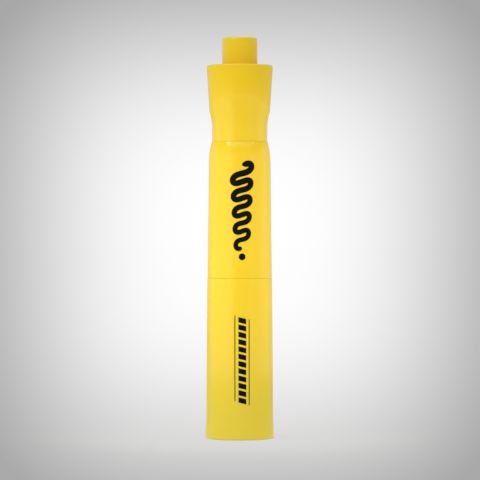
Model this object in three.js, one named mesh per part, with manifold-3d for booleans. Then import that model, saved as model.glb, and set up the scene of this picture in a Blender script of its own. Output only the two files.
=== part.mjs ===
// A broad-barrelled highlighter that stands on the flat closed end of its cap.
//
// Ten mouldings and inserts on one axis: a cap with a sealing sleeve, a barrel whose front end is closed by a
// nose with a chisel nib, an ink reservoir with its film and breather tube, and a flared tail closed by a plug.
// The plug carries a stud of the same size as the root of the nose, so the cap can be pushed onto either end.
//
// Millimetres, +Z up. The origin is the centre of the cap's closed end, on the table.
import * as THREE from "three";
import { mergeVertices } from "three/addons/utils/BufferGeometryUtils.js";
import Module from "manifold-3d";

const wasm = await Module();
wasm.setup();

// ---------------------------------------------------------------- driving sizes

const SIDES = 48; // facets round every turned piece
const CURVE_STEPS = 3; // steps along a curved stretch of an outline

// outside, along the axis
const BARREL_LENGTH = 42.5; // seam to rear rim
const SHOULDER_LENGTH = 6.3; // the part of that which curves in to the neck
const TAIL_LENGTH = 23.9; // barrel's rear rim to tail's end face
const NECK_LENGTH = 4.3; // straight neck above the rear rim
const FLARE_CURVE_LENGTH = 5.2; // concave sweep from the neck to the flare's corner

// outside, across the axis: the seam's diameter, and what each stretch adds or takes off its radius
const BODY_DIAMETER = 20.06;
const CAP_PROUD = 0.05; // cap's mouth beyond the barrel
const CAP_DRAFT = 0.42; // mouth to foot
const CAP_FOOT_PROUD = 0.22; // lip round the foot
const CAP_FOOT_HEIGHT = 2.4;
const CAP_FOOT_BLEND = 3.4;
const BARREL_DRAFT = 0.43;
const SHOULDER_DROP = 0.85;
const NECK_STEP = 0.2; // rear rim stands this much proud of the neck
const NECK_DRAFT = 0.07;
const FLARE_RISE = 0.82; // neck to the flare's corner
const FLARE_DRAFT = 0.9; // corner to the tail's end face
const ARCH_RISE = 5.2; // the flare starts this much higher at front and back than at the sides
const ARCH_TURN = THREE.MathUtils.degToRad(4.2); // the arches and the printing face this far right of front

// nose, and the stud that repeats its root
const POST_DIAMETER = 10.95;
const POST_LENGTH = 8.6;
const POST_DRAFT = 0.05;
const POST_EDGE = 0.5;
const SEAL_BEAD = 0.07; // height of the ring round the nose's root
const SEAL_BEAD_LENGTH = 1.4;
const NOSE_CONE_LENGTH = 20.0;
const NOSE_STEP = 0.35; // root to cone
const NOSE_TIP_DIAMETER = 8.4;
const NIB_EXPOSED = 9.0;
const NIB_BITE = 4.0; // how far the nib's tail sits in the reservoir
const NIB_WIDTH = 5.2;
const NIB_THICKNESS = 4.0;
const NIB_CORNER = 0.9;
const NIB_SLANT = THREE.MathUtils.degToRad(28); // of the writing edge
const NIB_BEVEL = THREE.MathUtils.degToRad(22); // of the two faces that meet at the edge
const NIB_EDGE = 1.3; // thickness left at the writing edge
const SOCKET_LENGTH = 9.0; // close-fitting part of the nib's bore
const VENT_WIDTH = 1.1;
const VENT_DEPTH = 0.6;

// walls
const SHELL_WALL = 1.25;
const CAP_BORE_DRAFT = 0.2;
const CAP_FLOOR = 1.6;
const SLEEVE_WALL = 1.0;
const SLEEVE_FLOOR = 1.0;
const DISC = 1.8; // thickness of the nose's and the plug's end discs
const SKIRT_WALL = 1.0;
const SKIRT_LENGTH = 5.0;
const SEAT = 0.45; // width of the ledge that an end disc stops against
const SPIGOT_LENGTH = 6.0;
const SPIGOT_WALL = 1.0;
const STUD_WALL = 1.1;

// ribs and fins
const RIB = 0.9;
const CAP_RIBS = 8;
const SEAT_RING_HEIGHT = 3.0; // ring on the cap's floor that centres the sleeve
const BARREL_RIBS = 6;
const PLUG_FIN = 1.2;

// edges
const FOOT_EDGE = 0.6;
const RIM_EDGE = 0.2;
const TAIL_EDGE = 0.3;
const LEAD_IN = 0.4;

// ink system
const FILM = 0.15;
const BREATHER_DIAMETER = 2.0;
const BREATHER_WALL = 0.4;

// clearances
const SEAM_GAP = 0.1; // cap's rim to barrel's front rim
const PRESS_GAP = 0.05; // between moulded pieces that plug together
const SLIDE_GAP = 0.05; // the nose's seal bead in the sleeve
const INSERT_GAP = 0.15; // round the nib, reservoir and breather tube
const FIN_GAP = 0.1; // reservoir to the plug's fins
const SLEEVE_INSET = 2.2; // sleeve's mouth below the cap's rim
const NIB_CLEARANCE = 9.8; // nib's tip to the sleeve's floor

// ---------------------------------------------------------------- worked out from them

const postRadius = POST_DIAMETER / 2;
const bodyRadius = BODY_DIAMETER / 2;
const nibReach = POST_LENGTH + NOSE_CONE_LENGTH + NIB_EXPOSED;
const seamZ = CAP_FLOOR + SLEEVE_FLOOR + NIB_CLEARANCE + nibReach;
const rearZ = seamZ + BARREL_LENGTH;
const endZ = rearZ + TAIL_LENGTH;
const topZ = endZ + POST_LENGTH;
const nibTipZ = seamZ - nibReach;
const noseTipZ = nibTipZ + NIB_EXPOSED;
const rootZ = seamZ - POST_LENGTH;
const noseSeatZ = seamZ + DISC;
const plugSeatZ = endZ - DISC;
const reservoirZ = noseSeatZ + INSERT_GAP;
const reservoirTopZ = plugSeatZ - SKIRT_LENGTH;

const capMouthRadius = bodyRadius + CAP_PROUD;
const capBaseRadius = capMouthRadius + CAP_DRAFT;
const capFootRadius = capBaseRadius + CAP_FOOT_PROUD;
const capBoreRadius = capMouthRadius - SHELL_WALL;
const sleeveBore = postRadius + SEAL_BEAD + SLIDE_GAP;
const sleeveRadius = sleeveBore + SLEEVE_WALL;

const barrelRearRadius = bodyRadius - BARREL_DRAFT;
const rimRadius = barrelRearRadius - SHOULDER_DROP;
const neckRadius = rimRadius - NECK_STEP;
const neckTopRadius = neckRadius + NECK_DRAFT;
const cornerRadius = neckTopRadius + FLARE_RISE;
const tailRadius = cornerRadius + FLARE_DRAFT;
const noseSeatBore = bodyRadius - SHELL_WALL;
const barrelBore = noseSeatBore - SEAT;
const rearBore = rimRadius - SHELL_WALL;
const spigotRadius = rearBore - PRESS_GAP;
const spigotBore = spigotRadius - SPIGOT_WALL;
const filmRadius = spigotBore - INSERT_GAP;
const reservoirRadius = filmRadius - FILM - PRESS_GAP;
const plugSeatBore = tailRadius - SHELL_WALL;
const funnelBore = plugSeatBore - SEAT;
const neckZ = rearZ + NECK_LENGTH;
const cornerZ = neckZ + FLARE_CURVE_LENGTH;
const flareDraw = (tailRadius - cornerRadius) / (endZ - cornerZ);
const funnelRadius = cornerRadius - SHELL_WALL;
const funnelDraw = (funnelBore - funnelRadius) / (plugSeatZ - cornerZ);

// ---------------------------------------------------------------- tools

// A closed geometry as a solid that can be cut and joined.
function solidOf(geometry) {
  const bare = geometry.clone();
  bare.deleteAttribute("normal");
  bare.deleteAttribute("uv");
  const welded = mergeVertices(bare, 1e-3);
  const vertProperties = Float32Array.from(welded.attributes.position.array);
  const triVerts = Uint32Array.from(welded.index.array);
  return new wasm.Manifold(new wasm.Mesh({ numProp: 3, vertProperties, triVerts }));
}

// The other way round: a solid as a geometry for a mesh.
function geometryOf(solid) {
  const { vertProperties, triVerts } = solid.getMesh();
  const geometry = new THREE.BufferGeometry();
  geometry.setAttribute("position", new THREE.BufferAttribute(Float32Array.from(vertProperties), 3));
  geometry.setIndex(new THREE.BufferAttribute(Uint32Array.from(triVerts), 1));
  geometry.computeVertexNormals();
  return geometry;
}

// The solid that a half outline sweeps about the Z axis. The outline's x is the radius and its y the height; it
// runs up the outside, and either starts and ends on the axis or comes back down the inside to its start.
function turned(outline) {
  const points = outline.getPoints(CURVE_STEPS);
  return solidOf(new THREE.LatheGeometry(points, SIDES).rotateX(Math.PI / 2));
}

// A ring-shaped solid whose outline changes round the axis. outlineAt gives the closed outline at an angle, which
// is measured from the back towards the right, and every outline has the same number of points.
function turnedBy(outlineAt) {
  const positions = [];
  for (let i = 0; i < SIDES; i++) {
    const angle = (i * 2 * Math.PI) / SIDES;
    for (const point of outlineAt(angle).getPoints(CURVE_STEPS).slice(0, -1)) {
      positions.push(point.x * Math.sin(angle), point.x * Math.cos(angle), point.y);
    }
  }
  const count = positions.length / 3 / SIDES;
  const index = [];
  for (let i = 0; i < SIDES; i++) {
    for (let j = 0; j < count; j++) {
      const [here, next] = [i * count, ((i + 1) % SIDES) * count];
      const above = (j + 1) % count;
      index.push(here + j, here + above, next + above, here + j, next + above, next + j);
    }
  }
  const geometry = new THREE.BufferGeometry();
  geometry.setAttribute("position", new THREE.Float32BufferAttribute(positions, 3));
  geometry.setIndex(index);
  return solidOf(geometry);
}

// An outline that starts at a radius and a height.
function outlineFrom(radius, z) {
  return new THREE.Path().moveTo(radius, z);
}

// A plain round bar between two heights, tapering from one radius to the other.
function bar(lowRadius, highRadius, lowZ, highZ) {
  return turned(outlineFrom(0, lowZ).lineTo(lowRadius, lowZ).lineTo(highRadius, highZ).lineTo(0, highZ));
}

// A bar with a rounded rectangle for its section, its wide side along X.
function flatBar(width, thickness, corner, lowZ, highZ) {
  const [x, y] = [width / 2 - corner, thickness / 2 - corner];
  const quarter = Math.PI / 2;
  const section = new THREE.Shape()
    .moveTo(x + corner, -y)
    .absarc(x, y, corner, 0, quarter)
    .absarc(-x, y, corner, quarter, 2 * quarter)
    .absarc(-x, -y, corner, 2 * quarter, 3 * quarter)
    .absarc(x, -y, corner, 3 * quarter, 4 * quarter);
  const settings = { depth: highZ - lowZ, bevelEnabled: false, curveSegments: CURVE_STEPS };
  return solidOf(new THREE.ExtrudeGeometry(section, settings).translate(0, 0, lowZ));
}

// A box that reaches from one radius to another in the direction of an angle, and from one height to another.
function rib(innerRadius, outerRadius, lowZ, highZ, width, angle) {
  const box = new THREE.BoxGeometry(outerRadius - innerRadius, width, highZ - lowZ);
  box.translate((innerRadius + outerRadius) / 2, 0, (lowZ + highZ) / 2);
  return solidOf(box.rotateZ(angle));
}

// The same rib several times round the axis, as one list.
function ribRing(count, ...size) {
  return Array.from({ length: count }, (_, i) => rib(...size, ((i + 0.5) * 2 * Math.PI) / count));
}

function joined(solid, pieces) {
  return pieces.reduce((whole, piece) => whole.add(piece), solid);
}

// ---------------------------------------------------------------- cap

// Outside of the cap at a height, above its foot.
function capRadiusAt(z) {
  return capBaseRadius + (capMouthRadius - capBaseRadius) * (z / seamZ);
}

function capShell() {
  const rimZ = seamZ - SEAM_GAP;
  const blendZ = CAP_FOOT_HEIGHT + CAP_FOOT_BLEND;
  const outline = outlineFrom(0, 0)
    .lineTo(capFootRadius - FOOT_EDGE, 0)
    .absarc(capFootRadius - FOOT_EDGE, FOOT_EDGE, FOOT_EDGE, -Math.PI / 2, 0)
    .lineTo(capFootRadius, CAP_FOOT_HEIGHT)
    .quadraticCurveTo(capRadiusAt(CAP_FOOT_HEIGHT), CAP_FOOT_HEIGHT, capRadiusAt(blendZ), blendZ)
    .lineTo(capMouthRadius, rimZ - RIM_EDGE)
    .lineTo(capMouthRadius - RIM_EDGE, rimZ)
    .lineTo(capBoreRadius + LEAD_IN, rimZ)
    .lineTo(capBoreRadius, rimZ - LEAD_IN)
    .lineTo(capBoreRadius - CAP_BORE_DRAFT, CAP_FLOOR)
    .lineTo(0, CAP_FLOOR);
  // A low ring and a set of tall ribs centre the sleeve; both grow out of the floor.
  const seatBore = sleeveRadius + PRESS_GAP;
  const inFloor = CAP_FLOOR / 2;
  const seatRing = outlineFrom(seatBore, inFloor)
    .lineTo(seatBore + SKIRT_WALL, inFloor)
    .lineTo(seatBore + SKIRT_WALL, CAP_FLOOR + SEAT_RING_HEIGHT)
    .lineTo(seatBore, CAP_FLOOR + SEAT_RING_HEIGHT)
    .closePath();
  const inWall = capBoreRadius + SHELL_WALL / 2;
  const ribTopZ = rootZ - SLEEVE_INSET;
  const ribs = ribRing(CAP_RIBS, seatBore, inWall, inFloor, ribTopZ, RIB);
  return joined(turned(outline), [turned(seatRing), ...ribs]);
}

function capInnerSleeve() {
  const topZ = seamZ - SLEEVE_INSET;
  const outline = outlineFrom(0, CAP_FLOOR)
    .lineTo(sleeveRadius, CAP_FLOOR)
    .lineTo(sleeveRadius, topZ - LEAD_IN)
    .lineTo(sleeveRadius - LEAD_IN / 2, topZ)
    .lineTo(sleeveBore + LEAD_IN, topZ)
    .lineTo(sleeveBore, topZ - 2 * LEAD_IN)
    .lineTo(sleeveBore, CAP_FLOOR + SLEEVE_FLOOR)
    .lineTo(0, CAP_FLOOR + SLEEVE_FLOOR);
  return turned(outline);
}

// ---------------------------------------------------------------- nose

// Outside of the nose: the root that the sleeve seals on, a small step, and the cone down to the nib.
function noseBody() {
  const skirtRadius = barrelBore - PRESS_GAP;
  const discRadius = noseSeatBore - PRESS_GAP;
  const tipRadius = NOSE_TIP_DIAMETER / 2;
  const coneRadius = postRadius - POST_DRAFT - NOSE_STEP;
  const beadRadius = postRadius - POST_DRAFT / 2 + SEAL_BEAD;
  const beadZ = (rootZ + seamZ) / 2;
  const outline = outlineFrom(0, noseTipZ)
    .lineTo(tipRadius - POST_EDGE, noseTipZ)
    .absarc(tipRadius - POST_EDGE, noseTipZ + POST_EDGE, POST_EDGE, -Math.PI / 2, 0)
    .lineTo(coneRadius, rootZ)
    .lineTo(postRadius - POST_DRAFT - RIM_EDGE, rootZ)
    .lineTo(postRadius - POST_DRAFT, rootZ + RIM_EDGE)
    .lineTo(beadRadius - SEAL_BEAD, beadZ - SEAL_BEAD_LENGTH / 2)
    .lineTo(beadRadius, beadZ - SEAL_BEAD_LENGTH / 4)
    .lineTo(beadRadius, beadZ + SEAL_BEAD_LENGTH / 4)
    .lineTo(beadRadius - SEAL_BEAD, beadZ + SEAL_BEAD_LENGTH / 2)
    .lineTo(postRadius, seamZ)
    .lineTo(discRadius, seamZ)
    .lineTo(discRadius, noseSeatZ)
    .lineTo(skirtRadius, noseSeatZ)
    .lineTo(skirtRadius, noseSeatZ + SKIRT_LENGTH)
    .lineTo(skirtRadius - SKIRT_WALL, noseSeatZ + SKIRT_LENGTH)
    .lineTo(skirtRadius - SKIRT_WALL, noseSeatZ)
    .lineTo(0, noseSeatZ);
  return turned(outline);
}

function noseSection() {
  const socketZ = noseTipZ + SOCKET_LENGTH;
  const throatRadius = postRadius - POST_DRAFT - NOSE_STEP - SHELL_WALL;
  const socketRadius = Math.hypot(NIB_WIDTH, NIB_THICKNESS) / 2;
  const beyond = SKIRT_WALL; // how far a cutter runs past the face it opens
  const [width, thickness] = [NIB_WIDTH + 2 * INSERT_GAP, NIB_THICKNESS + 2 * INSERT_GAP];
  const socket = flatBar(width, thickness, NIB_CORNER, noseTipZ - beyond, noseSeatZ + beyond);
  const throat = bar(socketRadius, throatRadius, socketZ, noseSeatZ + SEAM_GAP);
  const ventRadius = thickness / 2 + VENT_DEPTH;
  const vents = [1, -1].map((side) =>
    rib(0, ventRadius, noseTipZ - beyond, socketZ + beyond, VENT_WIDTH, (side * Math.PI) / 2),
  );
  return noseBody().subtract(joined(socket, [throat, ...vents]));
}

function nib() {
  const tailZ = reservoirZ + NIB_BITE;
  const stock = flatBar(NIB_WIDTH, NIB_THICKNESS, NIB_CORNER, nibTipZ, tailZ);
  const size = 4 * NIB_WIDTH;
  // A block whose top face is a plane through the origin, tilted about Y, takes off the corner under the edge.
  const slant = new THREE.BoxGeometry(size, size, size).translate(0, 0, -size / 2);
  slant.rotateY(-NIB_SLANT).translate(-NIB_WIDTH / 2, 0, nibTipZ);
  const bevels = [1, -1].map((side) => {
    const block = new THREE.BoxGeometry(size, size, size).translate(0, side * (size / 2), 0);
    block.rotateX(-side * NIB_BEVEL).rotateY(-NIB_SLANT);
    return solidOf(block.translate(-NIB_WIDTH / 2, (side * NIB_EDGE) / 2, nibTipZ));
  });
  return stock.subtract(joined(solidOf(slant), bevels));
}

// ---------------------------------------------------------------- barrel

function barrel() {
  const curveZ = rearZ - SHOULDER_LENGTH;
  const bendZ = curveZ + SHOULDER_LENGTH / 2;
  const boreEndZ = rearZ - SPIGOT_LENGTH - SHELL_WALL;
  const rearInner = barrelRearRadius - SHELL_WALL;
  const outline = outlineFrom(noseSeatBore, seamZ)
    .lineTo(bodyRadius - RIM_EDGE, seamZ)
    .lineTo(bodyRadius, seamZ + RIM_EDGE)
    .lineTo(barrelRearRadius, curveZ)
    .quadraticCurveTo(barrelRearRadius, bendZ, rimRadius, rearZ - RIM_EDGE)
    .lineTo(rimRadius - RIM_EDGE, rearZ)
    .lineTo(rearBore, rearZ)
    .lineTo(rearBore, boreEndZ)
    .lineTo(Math.min(rearInner, barrelBore), boreEndZ - SHELL_WALL)
    .lineTo(barrelBore, noseSeatZ + SKIRT_LENGTH)
    .lineTo(barrelBore, noseSeatZ)
    .lineTo(noseSeatBore, noseSeatZ)
    .closePath();
  const lowZ = noseSeatZ + SKIRT_LENGTH + SEAM_GAP;
  const inWall = barrelBore + SEAT / 2;
  const ribs = ribRing(BARREL_RIBS, filmRadius + INSERT_GAP, inWall, lowZ, boreEndZ, RIB);
  return joined(turned(outline), ribs);
}

// ---------------------------------------------------------------- ink system

// The breather tube lies against the film in a groove down the reservoir's side.
const breatherRadius = BREATHER_DIAMETER / 2;
const breatherPlace = [reservoirRadius - PRESS_GAP - breatherRadius, 0, 0];

function breatherTube() {
  const bore = breatherRadius - BREATHER_WALL;
  const topZ = reservoirTopZ - FIN_GAP;
  const outline = outlineFrom(bore, reservoirZ)
    .lineTo(breatherRadius, reservoirZ)
    .lineTo(breatherRadius, topZ)
    .lineTo(bore, topZ)
    .closePath();
  return turned(outline).translate(breatherPlace);
}

function reservoirCore() {
  const topZ = reservoirTopZ - FIN_GAP;
  const beyond = SKIRT_WALL;
  const grooveRadius = breatherRadius + INSERT_GAP;
  const core = bar(reservoirRadius, reservoirRadius, reservoirZ, topZ);
  const groove = bar(grooveRadius, grooveRadius, reservoirZ - beyond, topZ + beyond).translate(breatherPlace);
  const pocketTopZ = reservoirZ + NIB_BITE + INSERT_GAP;
  const [width, thickness] = [NIB_WIDTH + 2 * INSERT_GAP, NIB_THICKNESS + 2 * INSERT_GAP];
  const pocket = flatBar(width, thickness, NIB_CORNER, reservoirZ - beyond, pocketTopZ);
  return core.subtract(groove.add(pocket));
}

function reservoirFilm() {
  const topZ = reservoirTopZ - FIN_GAP;
  const outline = outlineFrom(filmRadius - FILM, reservoirZ)
    .lineTo(filmRadius, reservoirZ)
    .lineTo(filmRadius, topZ)
    .lineTo(filmRadius - FILM, topZ)
    .closePath();
  return turned(outline);
}

// ---------------------------------------------------------------- tail

// The tail's outline where its flare starts a rise higher than at the sides, with the same wall all the way.
function tailOutline(rise) {
  const spigotZ = rearZ - SPIGOT_LENGTH;
  const neckBoreTop = neckTopRadius - SHELL_WALL;
  const [straightEnd, corner] = [neckZ + rise, cornerZ + rise];
  return outlineFrom(spigotBore, spigotZ)
    .lineTo(spigotRadius - RIM_EDGE, spigotZ)
    .lineTo(spigotRadius, spigotZ + LEAD_IN)
    .lineTo(spigotRadius, rearZ)
    .lineTo(neckRadius, rearZ)
    .lineTo(neckTopRadius, straightEnd)
    .quadraticCurveTo(neckTopRadius, (straightEnd + corner) / 2, cornerRadius + flareDraw * rise, corner)
    .lineTo(tailRadius, endZ - TAIL_EDGE)
    .lineTo(tailRadius - TAIL_EDGE, endZ)
    .lineTo(plugSeatBore, endZ)
    .lineTo(plugSeatBore, plugSeatZ)
    .lineTo(funnelBore, plugSeatZ)
    .lineTo(funnelRadius + funnelDraw * rise, corner)
    .lineTo(neckBoreTop, straightEnd)
    .lineTo(spigotBore, rearZ)
    .closePath();
}

function tailNeck() {
  return turnedBy((angle) => tailOutline(ARCH_RISE * Math.cos(angle + ARCH_TURN) ** 2));
}

function tailPlug() {
  const discRadius = plugSeatBore - PRESS_GAP;
  const studTopRadius = postRadius - POST_DRAFT;
  const studBore = studTopRadius - STUD_WALL;
  const boreTopZ = topZ - STUD_WALL;
  const skirtEndZ = plugSeatZ - SKIRT_LENGTH;
  // The skirt keeps clear of the funnel, which narrows towards the neck.
  const skirtRadius = funnelBore - funnelDraw * SKIRT_LENGTH - PRESS_GAP;
  const outline = outlineFrom(skirtRadius - SKIRT_WALL, skirtEndZ)
    .lineTo(skirtRadius, skirtEndZ)
    .lineTo(skirtRadius, plugSeatZ)
    .lineTo(discRadius, plugSeatZ)
    .lineTo(discRadius, endZ)
    .lineTo(postRadius, endZ)
    .lineTo(studTopRadius, topZ - POST_EDGE)
    .absarc(studTopRadius - POST_EDGE, topZ - POST_EDGE, POST_EDGE, 0, Math.PI / 2)
    .lineTo(0, topZ)
    .lineTo(0, boreTopZ)
    .lineTo(studBore, boreTopZ)
    .lineTo(studBore, plugSeatZ)
    .lineTo(skirtRadius - SKIRT_WALL, plugSeatZ)
    .closePath();
  // Two crossed fins inside the skirt press on the reservoir.
  const inSkirt = skirtRadius - SKIRT_WALL / 2;
  const inDisc = plugSeatZ + DISC / 2;
  const fins = [0, Math.PI / 2].map((angle) => rib(-inSkirt, inSkirt, skirtEndZ, inDisc, PLUG_FIN, angle));
  return joined(turned(outline), fins);
}

// ---------------------------------------------------------------- the highlighter

const YELLOW = { color: 0xffe04a, roughness: 0.38, metalness: 0 };
const NATURAL = { color: 0xeeeade, roughness: 0.5, metalness: 0 };
const FELT = { color: 0xe6e43a, roughness: 0.95, metalness: 0 };
const INKED_FIBRE = { color: 0xf0ea4e, roughness: 1, metalness: 0 };
const CLEAR_FILM = { color: 0xf4f4f0, roughness: 0.2, metalness: 0 };

function mesh(name, solid, finish) {
  const made = new THREE.Mesh(geometryOf(solid), new THREE.MeshStandardMaterial(finish));
  made.name = name;
  return made;
}

const cap = new THREE.Group();
cap.add(
  mesh("cap_shell", capShell(), YELLOW),
  mesh("cap_inner_sleeve", capInnerSleeve(), NATURAL),
);

const pen = new THREE.Group();
pen.add(
  mesh("barrel", barrel(), YELLOW),
  mesh("nose_section", noseSection(), YELLOW),
  mesh("nib", nib(), FELT),
  mesh("reservoir_core", reservoirCore(), INKED_FIBRE),
  mesh("reservoir_film", reservoirFilm(), CLEAR_FILM),
  mesh("breather_tube", breatherTube(), NATURAL),
  mesh("tail_neck", tailNeck(), YELLOW),
  mesh("tail_plug", tailPlug(), YELLOW),
);

const highlighter = new THREE.Group();
highlighter.add(cap, pen);

export default highlighter;
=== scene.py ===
"""A broad-barrelled highlighter standing on its cap: the visual model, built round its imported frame.

Sizes are in millimetres and become metres when a mesh is made. +Z is up along the pen's axis, and the printed
front faces -Y. Angles round the axis are measured from the front towards the right.
"""

import logging
import math
from collections.abc import Callable, Sequence
from dataclasses import dataclass, field
from enum import Enum

import bmesh
import bpy
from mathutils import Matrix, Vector


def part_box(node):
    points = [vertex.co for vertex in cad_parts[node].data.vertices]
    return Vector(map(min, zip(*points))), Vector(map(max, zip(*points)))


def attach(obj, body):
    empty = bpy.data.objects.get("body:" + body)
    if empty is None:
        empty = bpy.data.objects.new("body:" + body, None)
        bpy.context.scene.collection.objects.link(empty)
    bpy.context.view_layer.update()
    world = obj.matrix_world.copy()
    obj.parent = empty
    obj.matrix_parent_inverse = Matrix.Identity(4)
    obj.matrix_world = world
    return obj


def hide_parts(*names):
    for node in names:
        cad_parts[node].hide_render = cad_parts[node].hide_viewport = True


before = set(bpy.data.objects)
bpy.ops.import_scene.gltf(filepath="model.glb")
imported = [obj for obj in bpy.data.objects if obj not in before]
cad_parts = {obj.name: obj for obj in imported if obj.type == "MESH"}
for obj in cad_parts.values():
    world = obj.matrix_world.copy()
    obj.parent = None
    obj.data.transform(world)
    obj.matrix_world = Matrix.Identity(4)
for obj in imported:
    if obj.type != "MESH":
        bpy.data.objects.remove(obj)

LOG = logging.getLogger("highlighter")

MM = 0.001
ROUND_STEPS = 192  # facets round a turned piece
FILLET_STEPS = 6  # facets along a rounded edge
BEND_STEPS = 14  # facets along a curved stretch of an outline
SMOOTH_ANGLE = math.radians(38.0)  # edges sharper than this stay sharp
FILLET_ROOM = 0.45  # the most of a straight side that one fillet may take
FILLET_LEAD = 0.08  # the straight lead beside a fillet, as a share of its length
MERGE_METRES = 1e-7  # points closer than this become one
TINY = 1e-9  # below this a direction counts as square to a side
FACING = math.radians(4.2)  # how far the printing and the arches are turned from the front
FILM_SINK = 0.35  # how much of a printed film's thickness lies behind its surface

Point = tuple[float, float]
Color = tuple[float, float, float]
Ring = list[tuple[float, float, float]]


class Body(Enum):
    """The two rigid bodies of the frame."""

    CAP = "cap"
    PEN = "pen"


class Slot(Enum):
    """The record's material slots."""

    YELLOW = "yellow_plastic"
    NATURAL = "natural_plastic"
    FELT = "felt"
    FIBRE = "inked_fibre"
    FILM = "clear_film"


# ---------------------------------------------------------------------------- places taken from the frame


@dataclass(frozen=True)
class Place:
    """Heights and radii that the visual pieces share with the solids, read from the frame's own boxes."""

    seam_z: float
    rear_z: float
    end_z: float
    top_z: float
    nose_tip_z: float
    nib_tip_z: float
    nib_top_z: float
    body_radius: float
    foot_radius: float
    tail_radius: float
    sleeve_top_z: float
    sleeve_radius: float

    @staticmethod
    def from_frame() -> "Place":
        """Reads the boxes.

        Returns:
            The places, in millimetres.
        """

        def low(node: str) -> Vector:
            """Lowest corner of a node, in millimetres."""
            return Vector(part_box(node)[0]) / MM

        def high(node: str) -> Vector:
            """Highest corner of a node, in millimetres."""
            return Vector(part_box(node)[1]) / MM

        return Place(
            seam_z=low("barrel").z,
            rear_z=high("barrel").z,
            end_z=high("tail_neck").z,
            top_z=high("tail_plug").z,
            nose_tip_z=low("nose_section").z,
            nib_tip_z=low("nib").z,
            nib_top_z=high("nib").z,
            body_radius=high("barrel").x,
            foot_radius=high("cap_shell").x,
            tail_radius=high("tail_neck").x,
            sleeve_top_z=high("cap_inner_sleeve").z,
            sleeve_radius=high("cap_inner_sleeve").x,
        )


# ---------------------------------------------------------------------------- outlines and meshes


@dataclass(frozen=True)
class Corner:
    """A corner of an outline: its radius from the axis, its height, and the fillet that rounds it."""

    radius: float
    z: float
    fillet: float = 0.0

    @property
    def point(self) -> Vector:
        """The corner as a flat vector."""
        return Vector((self.radius, self.z))


def fillet_arc(before: Vector, corner: Corner, after: Vector) -> list[Point]:
    """Rounds one corner, with a short straight lead on each side that keeps the flat faces' shading flat.

    Args:
        before: The outline's previous corner.
        corner: The corner to round.
        after: The outline's next corner.

    Returns:
        Points from the end of one straight side to the start of the next.
    """
    middle = corner.point
    back, ahead = before - middle, after - middle
    room = FILLET_ROOM * min(back.length, ahead.length)
    back.normalize()
    ahead.normalize()
    half = back.angle(ahead) / 2
    tangent = min(corner.fillet / math.tan(half), room)
    radius = tangent * math.tan(half)
    centre = middle + (back + ahead).normalized() * (radius / math.sin(half))
    start = middle + back * tangent - centre
    end = middle + ahead * tangent - centre
    turn = math.pi - 2 * half
    lead = FILLET_LEAD * tangent
    points = [tuple(middle + back * (tangent + lead))]
    for step in range(FILLET_STEPS + 1):
        share = step / FILLET_STEPS
        arm = (math.sin((1 - share) * turn) * start + math.sin(share * turn) * end) / math.sin(turn)
        points.append(tuple(centre + arm))
    points.append(tuple(middle + ahead * (tangent + lead)))
    return points


def rounded(corners: Sequence[Corner], closed: bool) -> list[Point]:
    """Rounds the corners of an outline that have a fillet.

    Args:
        corners: The outline's corners in order.
        closed: True if the last corner joins the first.

    Returns:
        The outline's points, as radius and height.
    """
    points: list[Point] = []
    count = len(corners)
    for index, corner in enumerate(corners):
        at_end = not closed and index in (0, count - 1)
        if corner.fillet <= 0 or at_end:
            points.append((corner.radius, corner.z))
            continue
        before = corners[index - 1].point
        after = corners[(index + 1) % count].point
        points.extend(fillet_arc(before, corner, after))
    return points


def bend(start: Point, control: Point, end: Point) -> list[Corner]:
    """Samples a quadratic curve.

    Args:
        start: Where it starts, as radius and height.
        control: The point that it leans towards.
        end: Where it ends.

    Returns:
        Plain corners along the curve, both ends included.
    """
    corners = []
    for step in range(BEND_STEPS + 1):
        share = step / BEND_STEPS
        weights = ((1 - share) ** 2, 2 * share * (1 - share), share**2)
        radius = sum(weight * point[0] for weight, point in zip(weights, (start, control, end)))
        z = sum(weight * point[1] for weight, point in zip(weights, (start, control, end)))
        corners.append(Corner(radius, z))
    return corners


def turned_rings(outline: Sequence[Point], steps: int = ROUND_STEPS) -> list[Ring]:
    """Sweeps an outline about the axis.

    Args:
        outline: Points as radius and height.
        steps: Points in each ring.

    Returns:
        One ring for each point of the outline.
    """
    return shaped_rings(lambda _: outline, steps)


def shaped_rings(outline_at: Callable[[float], Sequence[Point]], steps: int = ROUND_STEPS) -> list[Ring]:
    """Sweeps an outline that changes as it goes round.

    Args:
        outline_at: Gives the outline at an angle from the front. Its number of points never changes.
        steps: Points in each ring.

    Returns:
        One ring for each point of the outline.
    """
    columns = []
    for step in range(steps):
        angle = 2 * math.pi * step / steps
        across, along = math.sin(angle), -math.cos(angle)
        columns.append([(radius * across, radius * along, z) for radius, z in outline_at(angle)])
    return [list(ring) for ring in zip(*columns)]


def lofted(name: str, rings: Sequence[Ring], closed: bool) -> bpy.types.Object:
    """Joins rings of equal count into one closed mesh object at the origin.

    Args:
        name: The piece's name.
        rings: Rings of points in millimetres. A ring on the axis becomes one point.
        closed: True if the last ring joins the first.

    Returns:
        The new object.
    """
    made = bmesh.new()
    verts = [[made.verts.new(Vector(point) * MM) for point in ring] for ring in rings]
    count = len(verts[0])
    last = len(verts) if closed else len(verts) - 1
    for level in range(last):
        lower, upper = verts[level], verts[(level + 1) % len(verts)]
        for step in range(count):
            ahead = (step + 1) % count
            made.faces.new((lower[step], lower[ahead], upper[ahead], upper[step]))
    bmesh.ops.remove_doubles(made, verts=made.verts, dist=MERGE_METRES)
    bmesh.ops.recalc_face_normals(made, faces=made.faces)
    return finished(name, made)


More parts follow.
